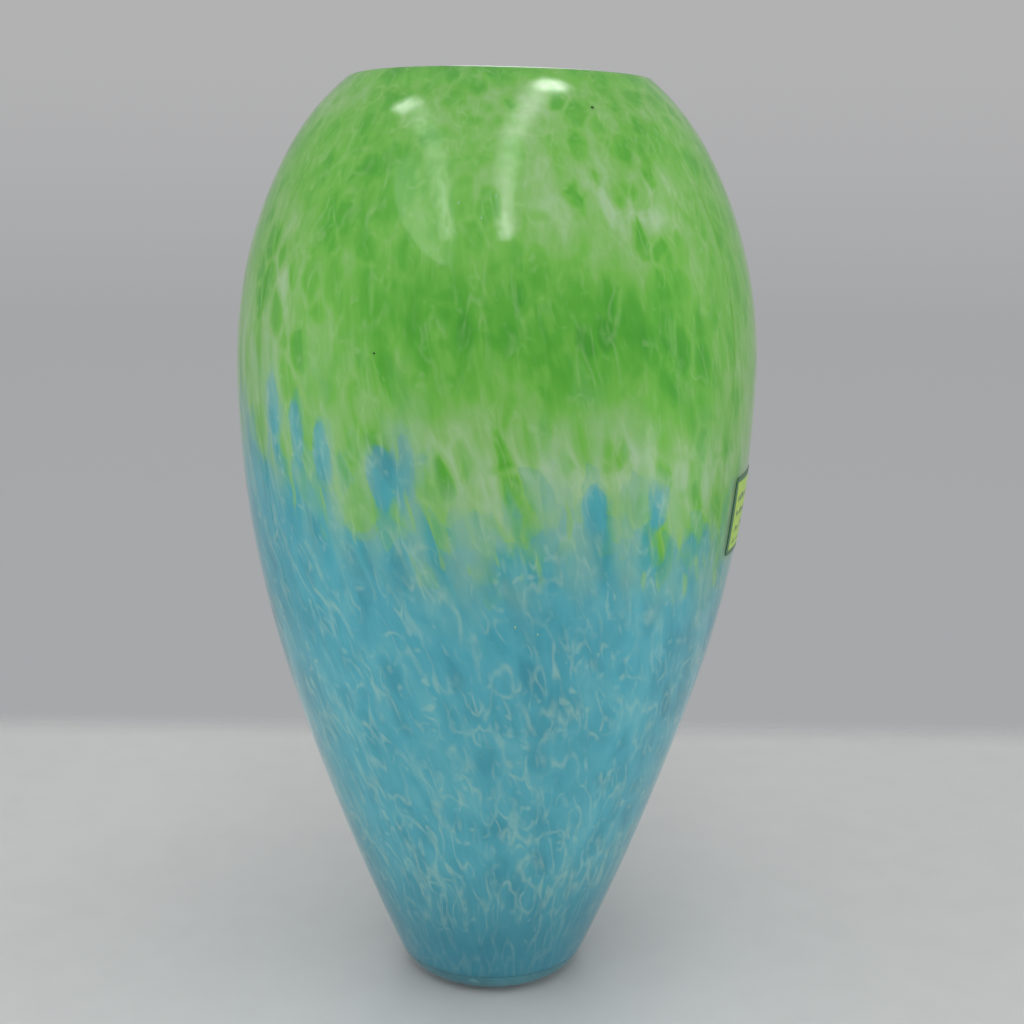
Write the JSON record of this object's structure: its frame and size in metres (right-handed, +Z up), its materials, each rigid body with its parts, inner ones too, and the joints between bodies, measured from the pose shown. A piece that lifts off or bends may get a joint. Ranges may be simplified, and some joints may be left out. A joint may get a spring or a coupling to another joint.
{
  "type": "vase",
  "caption": "Tall egg-shaped vase with a wide mouth and a small foot, blown in cased layers of green and blue colour glass under clear glass.",
  "frame": {"origin": "the middle of the foot, on the surface that the vase stands on", "axes": "+Z up along the vase's axis; the front faces -Y, and the label is at the right, near +X"},
  "size_m": [0.1676, 0.1676, 0.3],
  "materials": {
    "clear_glass": "fire-polished, glossy",
    "green_glass": "mottled chips of green glass, glossy",
    "blue_glass": "mottled chips of turquoise glass, glossy",
    "opal_glass": "milky, glossy",
    "teal_glass": "thick, clear, ground flat underneath",
    "label_paper": "printed paper with a gloss coat"
  },
  "bodies": {
    "root": {"clear_casing": "clear_glass", "green_colour_layer": "green_glass", "blue_colour_layer": "blue_glass", "inner_lining": "opal_glass", "foot_button": "teal_glass", "paper_label": "label_paper"}
  },
  "joints": []
}
